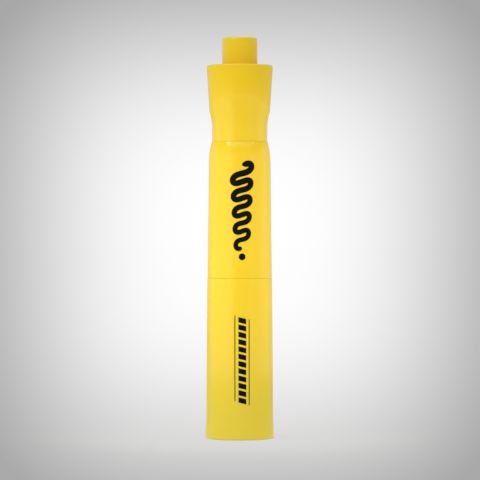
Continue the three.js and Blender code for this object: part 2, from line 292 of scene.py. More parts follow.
def finished(name: str, made: bmesh.types.BMesh) -> bpy.types.Object:
    """Turns a bmesh into a smooth-shaded object, with its sharp edges kept.

    Args:
        name: The piece's name.
        made: The mesh, in metres. It is freed.

    Returns:
        The new object, linked to the scene.
    """
    mesh = bpy.data.meshes.new(name)
    made.to_mesh(mesh)
    made.free()
    mesh.shade_smooth()
    mesh.set_sharp_from_angle(angle=SMOOTH_ANGLE)
    made_object = bpy.data.objects.new(name, mesh)
    bpy.context.scene.collection.objects.link(made_object)
    return made_object


def rounded_box(name: str, low: Vector, high: Vector, edge: float) -> bpy.types.Object:
    """A box between two corners with rounded edges.

    Args:
        name: The object's name.
        low: Its lowest corner, in millimetres.
        high: Its highest corner.
        edge: The radius of its edges.

    Returns:
        The new object.
    """
    made = bmesh.new()
    bmesh.ops.create_cube(made, size=1.0)
    for vert in made.verts:
        vert.co = Vector([(low[k] + high[k]) / 2 + vert.co[k] * (high[k] - low[k]) for k in range(3)]) * MM
    bmesh.ops.bevel(made, geom=made.edges[:], offset=edge * MM, segments=2, affect="EDGES", profile=0.5)
    return finished(name, made)


def dress(piece: bpy.types.Object, finish: "Finish", body: Body, slot: Slot | None, *nodes: str) -> None:
    """Gives a piece its finish and its body, hides the solids that it replaces, and reports it.

    Args:
        piece: The finished object.
        finish: What it is made of.
        body: The body that it rides on.
        slot: The record's slot, or None for ink that has none. It is not used.
        *nodes: The solids that it replaces.
    """
    piece.data.materials.clear()
    piece.data.materials.append(finish.material())
    if nodes:
        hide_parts(*nodes)
    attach(piece, body.value)
    LOG.info("%s: %d faces on %s", piece.name, len(piece.data.polygons), body.value)


# ---------------------------------------------------------------------------- finishes


class NodeMaker:
    """A short way to write a node tree."""

    def __init__(self, tree: bpy.types.NodeTree) -> None:
        """Takes the tree to add nodes to.

        Args:
            tree: The node tree.
        """
        self.tree = tree

    def node(self, kind: str, inputs: dict | None = None, **settings: object) -> bpy.types.Node:
        """Adds a node.

        Args:
            kind: The node's type.
            inputs: Socket name or index to a value or to another node's output.
            **settings: The node's own properties.

        Returns:
            The new node.
        """
        made = self.tree.nodes.new(kind)
        for key, value in settings.items():
            setattr(made, key, value)
        for key, value in (inputs or {}).items():
            if isinstance(value, bpy.types.NodeSocket):
                self.tree.links.new(value, made.inputs[key])
            else:
                made.inputs[key].default_value = value
        return made

    def math(self, operation: str, first: object, second: object = 0.0) -> bpy.types.NodeSocket:
        """One step of arithmetic.

        Args:
            operation: The math node's operation.
            first: A number or a socket.
            second: A number or a socket.

        Returns:
            The result.
        """
        return self.node("ShaderNodeMath", {0: first, 1: second}, operation=operation).outputs[0]


class Shader(NodeMaker):
    """A material's node tree, with what the finishes share."""

    def __init__(self, name: str) -> None:
        """Starts an empty node material.

        Args:
            name: The material's name.
        """
        self.material = bpy.data.materials.new(name)
        self.material.use_nodes = True
        super().__init__(self.material.node_tree)
        self.tree.nodes.clear()

    def noise(self, scale: float, stretch: tuple[float, float, float], detail: float) -> bpy.types.NodeSocket:
        """Noise on the object's own coordinates.

        Args:
            scale: Bumps per metre.
            stretch: How much finer or coarser it is along each axis.
            detail: Octaves.

        Returns:
            The noise's value, from 0 to 1.
        """
        placed = self.node("ShaderNodeMapping", {"Vector": self.where(), "Scale": stretch}).outputs["Vector"]
        made = self.node("ShaderNodeTexNoise", {"Vector": placed, "Scale": scale, "Detail": detail})
        return made.outputs[0]

    def spread(self, value: bpy.types.NodeSocket, low: float, high: float) -> bpy.types.NodeSocket:
        """Maps the middle of a noise's range to a range of values.

        Args:
            value: A noise.
            low: What its troughs become.
            high: What its peaks become.

        Returns:
            The mapped value.
        """
        inputs = {"Value": value, "From Min": 0.3, "From Max": 0.7, "To Min": low, "To Max": high}
        return self.node("ShaderNodeMapRange", inputs).outputs["Result"]

    def mixed(self, share: bpy.types.NodeSocket, low: object, high: object) -> bpy.types.NodeSocket:
        """A colour between two others.

        Args:
            share: From 0 to 1.
            low: The colour at 0, or a socket that gives it.
            high: The colour at 1, or a socket that gives it.

        Returns:
            The mixed colour.
        """
        ends = [end if isinstance(end, bpy.types.NodeSocket) else (*end, 1.0) for end in (low, high)]
        made = self.node("ShaderNodeMix", {0: share, 6: ends[0], 7: ends[1]}, data_type="RGBA")
        return made.outputs[2]

    def bump(self, height: bpy.types.NodeSocket, strength: float, distance: float) -> bpy.types.NodeSocket:
        """A bump normal.

        Args:
            height: The height's value, from 0 to 1.
            strength: From 0 to 1.
            distance: The full height, in millimetres.

        Returns:
            The normal.
        """
        inputs = {"Height": height, "Strength": strength, "Distance": distance * MM}
        return self.node("ShaderNodeBump", inputs).outputs["Normal"]

    def where(self) -> bpy.types.NodeSocket:
        """The object's own coordinates."""
        return self.node("ShaderNodeTexCoord").outputs["Object"]

    def principled(self, inputs: dict) -> bpy.types.Material:
        """Ends the material with one principled surface.

        Args:
            inputs: The surface's inputs by name.

        Returns:
            The finished material.
        """
        return self.end(self.node("ShaderNodeBsdfPrincipled", inputs).outputs[0])

    def end(self, surface: bpy.types.NodeSocket) -> bpy.types.Material:
        """Joins the surface to the output.

        Args:
            surface: The last shader.

        Returns:
            The finished material.
        """
        self.node("ShaderNodeOutputMaterial", {"Surface": surface})
        return self.material


@dataclass(frozen=True)
class Finish:
    """What every finish has: a name, and a material that is made once."""

    name: str

    def material(self) -> bpy.types.Material:
        """The finish's material, made at its first use."""
        return bpy.data.materials.get(self.name) or self.make()

    def make(self) -> bpy.types.Material:
        """Builds the material."""
        raise NotImplementedError


@dataclass(frozen=True)
class MouldedPlastic(Finish):
    """Injection-moulded plastic: a soft colour drift, flow streaks along the axis and a fine orange peel. A
    painted shade can also darken and green it towards its foot.
    """

    color: Color
    drift_color: Color
    roughness: float
    roughness_drift: float
    subsurface: float
    glow_reach: tuple[float, float, float]
    painted_foot_shade_color: Color | None = None
    foot_shade_height: float = 45.0
    streak_share: float = 0.25

    def make(self) -> bpy.types.Material:
        """Builds the plastic's nodes.

        Returns:
            The material.
        """
        shader = Shader(self.name)
        drift = shader.noise(scale=55.0, stretch=(1.0, 1.0, 0.35), detail=2.0)
        streaks = shader.noise(scale=420.0, stretch=(1.0, 1.0, 0.06), detail=3.0)
        drift_part = shader.math("MULTIPLY", drift, 1 - self.streak_share)
        blend = shader.math("ADD", drift_part, shader.math("MULTIPLY", streaks, self.streak_share))
        color = shader.mixed(shader.spread(blend, 0.0, 1.0), self.color, self.drift_color)
        # Painted shade: below this height the colour fades to a darker, greener tone at the foot, a tint of
        # the light there and not of the plastic.
        if self.painted_foot_shade_color is not None:
            height = shader.node("ShaderNodeSeparateXYZ", {0: shader.where()}).outputs["Z"]
            inputs = {"Value": height, "From Max": self.foot_shade_height * MM, "To Min": 1.0, "To Max": 0.0}
            eased = shader.node("ShaderNodeMapRange", inputs, interpolation_type="SMOOTHSTEP")
            foot_shade_share = eased.outputs["Result"]
            color = shader.mixed(foot_shade_share, color, self.painted_foot_shade_color)
        haze = shader.noise(scale=900.0, stretch=(1.0, 1.0, 0.5), detail=4.0)
        least, most = self.roughness - self.roughness_drift, self.roughness + self.roughness_drift
        roughness = shader.spread(haze, least, most)
        peel = shader.noise(scale=1900.0, stretch=(1.0, 1.0, 1.0), detail=2.0)
        return shader.principled(
            {
                "Base Color": color,
                "Roughness": roughness,
                "Normal": shader.bump(peel, strength=0.2, distance=0.0015),
                "Subsurface Weight": self.subsurface,
                "Subsurface Radius": self.glow_reach,
                "Subsurface Scale": MM,
            }
        )


@dataclass(frozen=True)
class Fibre(Finish):
    """A bundle of fibres that run along the axis, soaked with ink."""

    color: Color
    deep_color: Color
    fibres_per_metre: float
    relief: float

    def make(self) -> bpy.types.Material:
        """Builds the fibre's nodes.

        Returns:
            The material.
        """
        shader = Shader(self.name)
        strands = shader.noise(scale=self.fibres_per_metre, stretch=(1.0, 1.0, 0.04), detail=3.0)
        clumps = shader.noise(scale=self.fibres_per_metre / 6, stretch=(1.0, 1.0, 0.3), detail=2.0)
        both = shader.math("ADD", strands, clumps)
        inputs = {"Value": both, "From Min": 0.75, "From Max": 1.3}
        share = shader.node("ShaderNodeMapRange", inputs).outputs[0]
        color = shader.mixed(share, self.deep_color, self.color)
        return shader.principled(
            {
                "Base Color": color,
                "Roughness": 0.85,
                "Normal": shader.bump(strands, strength=0.7, distance=self.relief),
                "Subsurface Weight": 0.2,
                "Subsurface Radius": (1.0, 0.9, 0.3),
                "Subsurface Scale": 0.5 * MM,
                "Sheen Weight": 0.25,
            }
        )


@dataclass(frozen=True)
class ClearFilm(Finish):
    """Thin clear film with a faint wrinkle."""

    tint: Color

    def make(self) -> bpy.types.Material:
        """Builds the film's nodes.

        Returns:
            The material.
        """
        shader = Shader(self.name)
        wrinkles = shader.noise(scale=300.0, stretch=(1.0, 1.0, 0.2), detail=3.0)
        color = shader.mixed(wrinkles, self.tint, (0.98, 0.98, 0.96))
        return shader.principled(
            {
                "Base Color": color,
                "Roughness": 0.12,
                "Normal": shader.bump(wrinkles, strength=0.4, distance=0.02),
                "Transmission Weight": 0.85,
                "IOR": 1.5,
            }
        )


@dataclass(frozen=True)
class PrintInk(Finish):
    """Pad-printed ink: a dense film with tiny pinholes of sheen."""

    color: Color
    worn_color: Color

    def make(self) -> bpy.types.Material:
        """Builds the ink's nodes.

        Returns:
            The material.
        """
        shader = Shader(self.name)
        grain = shader.noise(scale=2600.0, stretch=(1.0, 1.0, 1.0), detail=3.0)
        color = shader.mixed(shader.spread(grain, 0.0, 1.0), self.color, self.worn_color)
        return shader.principled(
            {
                "Base Color": color,
                "Roughness": shader.spread(grain, 0.5, 0.65),
                "Normal": shader.bump(grain, strength=0.25, distance=0.004),
                "Specular IOR Level": 0.06,
            }
        )


YELLOW_PLASTIC = MouldedPlastic(
    name="yellow_moulded_plastic",
    color=(0.995, 0.655, 0.006),
    drift_color=(1.0, 0.675, 0.009),
    roughness=0.21,
    roughness_drift=0.03,
    subsurface=0.3,
    glow_reach=(1.6, 1.1, 0.25),
)
CAP_PLASTIC = MouldedPlastic(
    name="yellow_cap_plastic",
    color=(0.99, 0.66, 0.006),
    drift_color=(0.995, 0.68, 0.009),
    roughness=0.21,
    roughness_drift=0.03,
    subsurface=0.3,
    glow_reach=(1.6, 1.1, 0.25),
    # Painted shade: the cap turns darker and greener towards its foot, as the light fell on it.
    painted_foot_shade_color=(0.85, 0.665, 0.045),
)
NATURAL_PLASTIC = MouldedPlastic(
    name="natural_moulded_plastic",
    color=(0.80, 0.79, 0.72),
    drift_color=(0.86, 0.85, 0.79),
    roughness=0.42,
    roughness_drift=0.06,
    subsurface=0.5,
    glow_reach=(1.8, 1.7, 1.5),
)
NIB_FELT = Fibre(
    name="inked_nib_felt",
    color=(0.92, 0.87, 0.03),
    deep_color=(0.72, 0.62, 0.01),
    fibres_per_metre=5200.0,
    relief=0.03,
)
RESERVOIR_FIBRE = Fibre(
    name="inked_reservoir_fibre",
    color=(0.93, 0.88, 0.08),
    deep_color=(0.75, 0.68, 0.03),
    fibres_per_metre=3800.0,
    relief=0.05,
)
RESERVOIR_FILM = ClearFilm(name="clear_reservoir_film", tint=(0.93, 0.94, 0.9))
BLACK_INK = PrintInk(
    name="black_print_ink",
    color=(0.003, 0.0025, 0.002),
    worn_color=(0.007, 0.006, 0.005),
)


# ---------------------------------------------------------------------------- node trees for what repeats


@dataclass(frozen=True)
class TreeInput:
    """A named input of a geometry node tree."""

    name: str
    kind: str
    value: object


class PatternTree(NodeMaker):
    """A geometry node tree with named inputs, and the way from it to a plain mesh."""

    def __init__(self, name: str, inputs: Sequence[TreeInput]) -> None:
        """Starts the tree and its interface.

        Args:
            name: The tree's name.
            inputs: Its inputs, with the values to build with.
        """
        super().__init__(bpy.data.node_groups.new(name, "GeometryNodeTree"))
        self.inputs = inputs
        self.tree.interface.new_socket("Geometry", in_out="OUTPUT", socket_type="NodeSocketGeometry")
        self.sockets = {
            entry.name: self.tree.interface.new_socket(entry.name, in_out="INPUT", socket_type=entry.kind)
            for entry in inputs
        }
        self.entry = self.node("NodeGroupInput")

    def given(self, name: str) -> bpy.types.NodeSocket:
        """The tree's input of that name."""
        return self.entry.outputs[name]

    def end(self, geometry: bpy.types.NodeSocket) -> None:
        """Ends the tree with its material and output.

        Args:
            geometry: Real geometry, with no instances left in it.
        """
        inputs = {"Geometry": geometry, "Material": self.given("Material")}
        dressed = self.node("GeometryNodeSetMaterial", inputs).outputs["Geometry"]
        self.node("NodeGroupOutput", {"Geometry": dressed})

    def mesh_object(self, name: str) -> bpy.types.Object:
        """Runs the tree once and keeps its result as a plain mesh.

        Args:
            name: The piece's name.

        Returns:
            The new object, with no modifier.
        """
        holder = bpy.data.objects.new(name + "_pattern", bpy.data.meshes.new(name + "_pattern"))
        bpy.context.scene.collection.objects.link(holder)
        modifier = holder.modifiers.new("pattern", "NODES")
        modifier.node_group = self.tree
        for entry in self.inputs:
            modifier[self.sockets[entry.name].identifier] = entry.value
        holder.update_tag()
        evaluated = holder.evaluated_get(bpy.context.evaluated_depsgraph_get())
        mesh = bpy.data.meshes.new_from_object(evaluated)
        mesh.name = name
        mesh.shade_smooth()
        mesh.set_sharp_from_angle(angle=SMOOTH_ANGLE)
        made = bpy.data.objects.new(name, mesh)
        bpy.context.scene.collection.objects.link(made)
        bpy.data.objects.remove(holder)
        return made


@dataclass(frozen=True)
class RibRing:
    """Equal ribs that stand round the axis."""

    name: str
    count: int
    inner: float
    outer: float
    low: float
    high: float
    width: float
    turn: float = 0.5
    edge: float = 0.12

    def build(self, finish: Finish) -> bpy.types.Object:
        """Makes the ribs with a node tree.

        Args:
            finish: What they are made of.

        Returns:
            The ribs as one mesh.
        """
        half = self.width / 2
        rib = rounded_box(
            self.name + "_one",
            Vector((self.inner, -half, self.low)),
            Vector((self.outer, half, self.high)),
            self.edge,
        )
        pattern = PatternTree(
            self.name + "_ring",
            (
                TreeInput("Rib", "NodeSocketObject", rib),
                TreeInput("Count", "NodeSocketInt", self.count),
                TreeInput("Turn", "NodeSocketFloat", self.turn),
                TreeInput("Material", "NodeSocketMaterial", finish.material()),
            ),
        )
        points = pattern.node("GeometryNodePoints", {"Count": pattern.given("Count")}).outputs[0]
        index = pattern.node("GeometryNodeInputIndex").outputs[0]
        step = pattern.math("DIVIDE", 2 * math.pi, pattern.given("Count"))
        angle = pattern.math("MULTIPLY", pattern.math("ADD", index, pattern.given("Turn")), step)
        turning = pattern.node(
            "FunctionNodeAxisAngleToRotation", {"Axis": (0.0, 0.0, 1.0), "Angle": angle}
        ).outputs[0]
        source = pattern.node("GeometryNodeObjectInfo", {"Object": pattern.given("Rib")})
        placed = pattern.node(
            "GeometryNodeInstanceOnPoints",
            {"Points": points, "Instance": source.outputs["Geometry"], "Rotation": turning},
        )
        real = pattern.node("GeometryNodeRealizeInstances", {"Geometry": placed.outputs[0]})
        pattern.end(real.outputs[0])
        made = pattern.mesh_object(self.name)
        bpy.data.objects.remove(rib)
        return made


@dataclass(frozen=True)
class Wrap:
    """A tapered round surface that flat marks are printed on, between two heights."""

    low_z: float
    low_radius: float
    high_z: float
    high_radius: float
    facing: float

    def printed(self, name: str, mark: bpy.types.Object, count: int, pitch: float) -> bpy.types.Object:
        """Repeats a flat mark down the axis and lays it on the surface with a node tree.

        Args:
            name: The piece's name.
            mark: A flat mark: x runs round the surface, -y out of it and z up. It is removed.
            count: How many there are.
            pitch: The step down from one to the next, in millimetres.

        Returns:
            The marks as one mesh.
        """
        pattern = PatternTree(
            name + "_wrap",
            (
                TreeInput("Mark", "NodeSocketObject", mark),
                TreeInput("Count", "NodeSocketInt", count),
                TreeInput("Pitch", "NodeSocketFloat", pitch * MM),
                TreeInput("Facing", "NodeSocketFloat", self.facing),
                TreeInput("Low Height", "NodeSocketFloat", self.low_z * MM),
                TreeInput("Low Radius", "NodeSocketFloat", self.low_radius * MM),
                TreeInput("High Height", "NodeSocketFloat", self.high_z * MM),
                TreeInput("High Radius", "NodeSocketFloat", self.high_radius * MM),
                TreeInput("Material", "NodeSocketMaterial", BLACK_INK.material()),
            ),
        )
        index = pattern.node("GeometryNodeInputIndex").outputs[0]
        drop = pattern.math("MULTIPLY", pattern.math("MULTIPLY", index, pattern.given("Pitch")), -1.0)
        place = pattern.node("ShaderNodeCombineXYZ", {"Z": drop}).outputs[0]
        points = pattern.node("GeometryNodePoints", {"Count": pattern.given("Count"), "Position": place})
        source = pattern.node("GeometryNodeObjectInfo", {"Object": pattern.given("Mark")})
        placed = pattern.node(
            "GeometryNodeInstanceOnPoints",
            {"Points": points.outputs[0], "Instance": source.outputs["Geometry"]},
        )
        real = pattern.node("GeometryNodeRealizeInstances", {"Geometry": placed.outputs[0]}).outputs[0]
        position = pattern.node("GeometryNodeInputPosition").outputs[0]
        flat = pattern.node("ShaderNodeSeparateXYZ", {0: position})
        inputs = {
            "Value": flat.outputs["Z"],
            "From Min": pattern.given("Low Height"),
            "From Max": pattern.given("High Height"),
            "To Min": pattern.given("Low Radius"),
            "To Max": pattern.given("High Radius"),
        }
        radius = pattern.node("ShaderNodeMapRange", inputs, clamp=False).outputs["Result"]
        turn = pattern.math("DIVIDE", flat.outputs["X"], radius)
        angle = pattern.math("ADD", turn, pattern.given("Facing"))
        reach = pattern.math("SUBTRACT", radius, flat.outputs["Y"])
        across = pattern.math("MULTIPLY", reach, pattern.math("SINE", angle))
        ahead = pattern.math("MULTIPLY", pattern.math("MULTIPLY", reach, pattern.math("COSINE", angle)), -1.0)
        where = pattern.node("ShaderNodeCombineXYZ", {"X": across, "Y": ahead, "Z": flat.outputs["Z"]})
        laid = pattern.node("GeometryNodeSetPosition", {"Geometry": real, "Position": where.outputs[0]})
        pattern.end(laid.outputs[0])
        made = pattern.mesh_object(name)
        bpy.data.objects.remove(mark)
        return made


# ---------------------------------------------------------------------------- cap


@dataclass
class Cap:
    """The cap: a shell with a lip round its foot, ribs inside, and a sleeve that seals on the nose."""

    place: Place
    mouth_radius: float = 10.08
    base_radius: float = 10.5
    foot_height: float = 1.0
    foot_blend: float = 6.5
    foot_edge: float = 0.6
    rim_edge: float = 0.22
    rim_gap: float = 0.01
    wall: float = 1.25
    bore_draft: float = 0.2
    floor: float = 1.6
    sleeve_floor: float = 1.0
    sleeve_bore: float = 5.595
    ring_height: float = 3.0
    ring_wall: float = 1.0
    rib_top_z: float = 39.2
    rib_width: float = 0.9
    rib_count: int = 8
    mouth_ease: tuple[float, float] = (0.2, 0.4)
    sleeve_lead: tuple[float, float] = (0.3, 0.8)
    gap: float = 0.05

    def radius_at(self, z: float) -> float:
        """The outside radius at a height above the foot.

        Args:
            z: The height.

        Returns:
            The radius.
        """
        return self.base_radius + (self.mouth_radius - self.base_radius) * z / self.place.seam_z

    def flare(self) -> list[Corner]:
        """The smooth flare from the cap's side out to its foot.

        Returns:
            Plain corners up the flare.
        """
        proud = self.place.foot_radius - self.radius_at(self.foot_height)
        corners = []
        for step in range(BEND_STEPS + 1):
            share = step / BEND_STEPS
            z = self.foot_height + self.foot_blend * share
            left_over = 1 - share**2 * (3 - 2 * share)
            corners.append(Corner(self.radius_at(z) + proud * left_over, z))
        return corners

    def build(self) -> None:
        """Builds and dresses the cap's pieces."""
        self.build_shell()
        self.build_ribs()
        self.build_sleeve()

    def build_shell(self) -> None:
        """Builds the shell."""
        foot, rim = self.place.foot_radius, self.place.seam_z - self.rim_gap
        bore = self.mouth_radius - self.wall
        corners = [
            Corner(0.0, 0.0),
            Corner(foot, 0.0, self.foot_edge),
            *self.flare(),
            Corner(self.mouth_radius, rim, self.rim_edge),
            Corner(bore + self.mouth_ease[0], rim, 0.15),
            Corner(bore, rim - self.mouth_ease[1], 0.1),
            Corner(bore - self.bore_draft, self.floor, 0.4),
            Corner(0.0, self.floor),
        ]
        shell = lofted("cap_moulding", turned_rings(rounded(corners, closed=False)), closed=False)
        dress(shell, CAP_PLASTIC, Body.CAP, Slot.YELLOW, "cap_shell")

    def build_ribs(self) -> None:
        """Builds the ribs and the low ring that centre the sleeve."""
        inner = self.place.sleeve_radius + self.gap
        wall_middle = self.mouth_radius - self.wall / 2
        ribs = RibRing(
            "cap_ribs", self.rib_count, inner, wall_middle, self.floor / 2, self.rib_top_z, self.rib_width
        )
        dress(ribs.build(CAP_PLASTIC), CAP_PLASTIC, Body.CAP, Slot.YELLOW)
        top = self.floor + self.ring_height
        corners = [
            Corner(inner, self.floor / 2),
            Corner(inner + self.ring_wall, self.floor / 2),
            Corner(inner + self.ring_wall, top, 0.2),
            Corner(inner, top, 0.2),
        ]
        ring = lofted("cap_seat_ring", turned_rings(rounded(corners, closed=True)), closed=True)
        dress(ring, CAP_PLASTIC, Body.CAP, Slot.YELLOW)

    def build_sleeve(self) -> None:
        """Builds the sealing sleeve."""
        radius, top = self.place.sleeve_radius, self.place.sleeve_top_z
        corners = [
            Corner(0.0, self.floor),
            Corner(radius, self.floor, 0.2),
            Corner(radius, top, 0.3),
            Corner(self.sleeve_bore + self.sleeve_lead[0], top, 0.15),
            Corner(self.sleeve_bore, top - self.sleeve_lead[1], 0.6),
            Corner(self.sleeve_bore, self.floor + self.sleeve_floor, 0.6),
            Corner(0.0, self.floor + self.sleeve_floor),
        ]
        sleeve = lofted("cap_sleeve", turned_rings(rounded(corners, closed=False)), closed=False)
        dress(sleeve, NATURAL_PLASTIC, Body.CAP, Slot.NATURAL, "cap_inner_sleeve")


# ---------------------------------------------------------------------------- barrel


@dataclass
class Barrel:
    """The barrel: a slightly tapered tube with a rounded shoulder at its rear."""

    place: Place
    rear_radius: float = 9.6
    rim_radius: float = 8.8
    neck_radius: float = 8.56
    shoulder_length: float = 6.3
    front_edge: float = 0.08
    rim_height: float = 0.25
    rim_ease: float = 0.06
    wall: float = 1.25
    seat: float = 0.45
    disc: float = 1.8
    skirt_length: float = 5.0
    spigot_length: float = 6.0
    rear_relief: float = 0.19
    rib_inner: float = 6.45
    rib_clearance: float = 0.1
    rib_width: float = 0.9
    rib_count: int = 6

    def build(self) -> None:
        """Builds and dresses the barrel's pieces."""
        seam, rear, radius = self.place.seam_z, self.place.rear_z, self.place.body_radius
        curve_z = rear - self.shoulder_length
        shoulder = bend(
            (self.rear_radius, curve_z),
            (self.rear_radius, curve_z + self.shoulder_length / 2),
            (self.rim_radius, rear - self.rim_height),
        )
        slope = (self.rear_radius - self.rim_radius) / (self.shoulder_length / 2 - self.rim_height)
        lean = self.rim_radius - slope * (self.rim_height - self.rim_ease)
        rim = bend(
            (self.rim_radius, rear - self.rim_height),
            (lean, rear - self.rim_ease),
            (self.neck_radius, rear),
        )
        seat_bore = radius - self.wall
        bore = seat_bore - self.seat
        rear_bore = self.neck_radius + self.rear_relief - self.wall
        step_z = rear - self.spigot_length - self.wall
        seat_z = seam + self.disc
        corners = [
            Corner(seat_bore, seam, 0.05),
            Corner(radius, seam, self.front_edge),
            *shoulder[:-1],
            *rim,
            Corner(rear_bore, rear, 0.05),
            Corner(rear_bore, step_z),
            Corner(bore, step_z - self.wall),
            Corner(bore, seat_z),
            Corner(seat_bore, seat_z),
        ]
        shell = lofted("barrel_moulding", turned_rings(rounded(corners, closed=True)), closed=True)
        dress(shell, YELLOW_PLASTIC, Body.PEN, Slot.YELLOW, "barrel")
        low = seat_z + self.skirt_length + self.rib_clearance
        ribs = RibRing(
            "barrel_ribs", self.rib_count, self.rib_inner, bore + self.seat / 2, low, step_z, self.rib_width
        )
        dress(ribs.build(YELLOW_PLASTIC), YELLOW_PLASTIC, Body.PEN, Slot.YELLOW)


# ---------------------------------------------------------------------------- nose and nib


def oblong_reach(angle: float, width: float, thickness: float, corner: float) -> float:
    """How far a rectangle with rounded corners reaches from its centre in a direction.

    Args:
        angle: The direction, from the front towards the right.
        width: Its size along X.
        thickness: Its size along Y.
        corner: The radius of its corners.

    Returns:
        The distance.
    """
    across, along = abs(math.sin(angle)), abs(math.cos(angle))
    flat_x, flat_y = width / 2 - corner, thickness / 2 - corner
    to_side = (width / 2) / across if across > TINY else math.inf
    to_front = (thickness / 2) / along if along > TINY else math.inf
    reach = min(to_side, to_front)
    if reach * across <= flat_x or reach * along <= flat_y:
        return reach
    middle = across * flat_x + along * flat_y
    rest = flat_x**2 + flat_y**2 - corner**2
    return middle + math.sqrt(max(middle**2 - rest, 0.0))


@dataclass
class Nose:
    """The nose: the root that the sleeve seals on, a cone, and a socket with two vents for the nib."""

    place: Place
    post_radius: float = 5.475
    post_length: float = 8.6
    post_draft: float = 0.05
    step: float = 0.35
    tip_radius: float = 4.2
    tip_edge: float = 0.5
    tip_land: float = 0.9
    bead: float = 0.07
    bead_length: float = 1.4
    disc: float = 1.8
    disc_radius: float = 8.73
    skirt_radius: float = 8.28
    skirt_wall: float = 1.0
    skirt_length: float = 5.0
    socket_length: float = 9.0
    socket_width: float = 5.5
    socket_thickness: float = 4.3
    socket_corner: float = 0.9
    vent_width: float = 1.1
    vent_depth: float = 0.6
    throat_low_radius: float = 3.28
    throat_high_radius: float = 3.825
    socket_lead: float = 0.1
    mouth_ease: tuple[Point, ...] = ((0.0, 0.2), (0.03, 0.08), (0.1, 0.0))
    round_steps: int = 288

    def socket_reach(self, angle: float) -> float:
        """How far the socket with its vents reaches in a direction.

        Args:
            angle: The direction, from the front towards the right.

        Returns:
            The distance from the axis.
        """
        reach = oblong_reach(angle, self.socket_width, self.socket_thickness, self.socket_corner)
        across, along = abs(math.sin(angle)), abs(math.cos(angle))
        depth = self.socket_thickness / 2 + self.vent_depth
        to_floor = depth / along if along > TINY else math.inf
        to_side = (self.vent_width / 2) / across if across > TINY else math.inf
        vent = min(to_floor, to_side)
        return max(reach, vent) if vent * along <= depth + TINY else reach

    def build(self) -> None:
        """Builds and dresses the nose."""
        seam, tip = self.place.seam_z, self.place.nose_tip_z
        root_z = seam - self.post_length
        root = self.post_radius - self.post_draft
        bead_radius = self.post_radius - self.post_draft / 2 + self.bead
        bead_z = (root_z + seam) / 2
        seat_z = seam + self.disc
        skirt_z = seat_z + self.skirt_length
        outside = [
            Corner(self.tip_radius - self.tip_land, tip),
            Corner(self.tip_radius, tip, self.tip_edge),
            Corner(root - self.step, root_z, 0.15),
            Corner(root, root_z, 0.2),
            Corner(bead_radius - self.bead, bead_z - self.bead_length / 2, 0.6),
            Corner(bead_radius, bead_z - self.bead_length / 4, 0.6),
            Corner(bead_radius, bead_z + self.bead_length / 4, 0.6),
            Corner(bead_radius - self.bead, bead_z + self.bead_length / 2, 0.6),
            Corner(self.post_radius, seam, 0.25),
            Corner(self.disc_radius, seam, 0.1),
            Corner(self.disc_radius, seat_z, 0.1),
            Corner(self.skirt_radius, seat_z),
            Corner(self.skirt_radius, skirt_z, 0.2),
            Corner(self.skirt_radius - self.skirt_wall, skirt_z, 0.2),
            Corner(self.skirt_radius - self.skirt_wall, seat_z, 0.2),
            Corner(self.throat_high_radius, seat_z, 0.1),
            Corner(self.throat_low_radius, tip + self.socket_length, 0.05),
        ]
        points = rounded(outside, closed=False)
        rings = turned_rings(points, self.round_steps)
        rings += shaped_rings(self.socket_outline, self.round_steps)
        nose = lofted("nose_moulding", rings, closed=True)
        dress(nose, YELLOW_PLASTIC, Body.PEN, Slot.YELLOW, "nose_section")

    def socket_outline(self, angle: float) -> list[Point]:
        """The socket's wall in one direction, from its inner end down to its slightly eased mouth.

        Args:
            angle: The direction, from the front towards the right.

        Returns:
            Points as radius and height.
        """
        reach, tip = self.socket_reach(angle), self.place.nose_tip_z
        inner = min(reach, self.throat_low_radius)
        return [
            (inner, tip + self.socket_length),
            (reach, tip + self.socket_length - self.socket_lead),
            *((reach + out, tip + up) for out, up in self.mouth_ease),
        ]


@dataclass
class Nib:
    """The nib: a bar of bonded fibre with its end cut to a slanted chisel edge."""

    place: Place
    width: float = 5.2
    thickness: float = 4.0
    corner: float = 0.9
    slant: float = math.radians(28.0)
    bevel: float = math.radians(22.0)
    edge: float = 1.3
    softness: float = 0.12
    rim_lifts: tuple[float, float] = (0.16, 0.05)
    top_length: float = 0.2
    top_scale: float = 0.96
    steps: int = 144
    end_rings: int = 22

    def height(self, x: float, y: float) -> float:
        """The height of the cut end at a point of the section.

        Args:
            x: Across the wide side.
            y: Across the narrow side.

        Returns:
            The height, in millimetres.
        """
        past = abs(y) - self.edge / 2
        eased = (past + math.hypot(past, self.softness)) / 2
        rise = eased / math.tan(self.bevel) / math.cos(self.slant)
        return self.place.nib_tip_z + (x + self.width / 2) * math.tan(self.slant) + rise

    def build(self) -> None:
        """Builds and dresses the nib."""
        loop = []
        for step in range(self.steps):
            angle = 2 * math.pi * step / self.steps
            reach = oblong_reach(angle, self.width, self.thickness, self.corner)
            loop.append((reach * math.sin(angle), -reach * math.cos(angle)))
        rings = []
        for level in range(self.end_rings + 1):
            share = level / self.end_rings
            scale = math.sin(share * math.pi / 2)
            rings.append([(x * scale, y * scale, self.height(x * scale, y * scale)) for x, y in loop])
        for level, lift in zip((-1, -2), self.rim_lifts):
            rings[level] = [(x, y, z + lift) for x, y, z in rings[level]]
        top = self.place.nib_top_z
        rings.append([(x, y, top - self.top_length) for x, y in loop])
        rings.append([(x * self.top_scale, y * self.top_scale, top) for x, y in loop])
        rings.append([(0.0, 0.0, top) for _ in loop])
        nib = lofted("chisel_nib", rings, closed=False)
        dress(nib, NIB_FELT, Body.PEN, Slot.FELT, "nib")


# ---------------------------------------------------------------------------- ink system


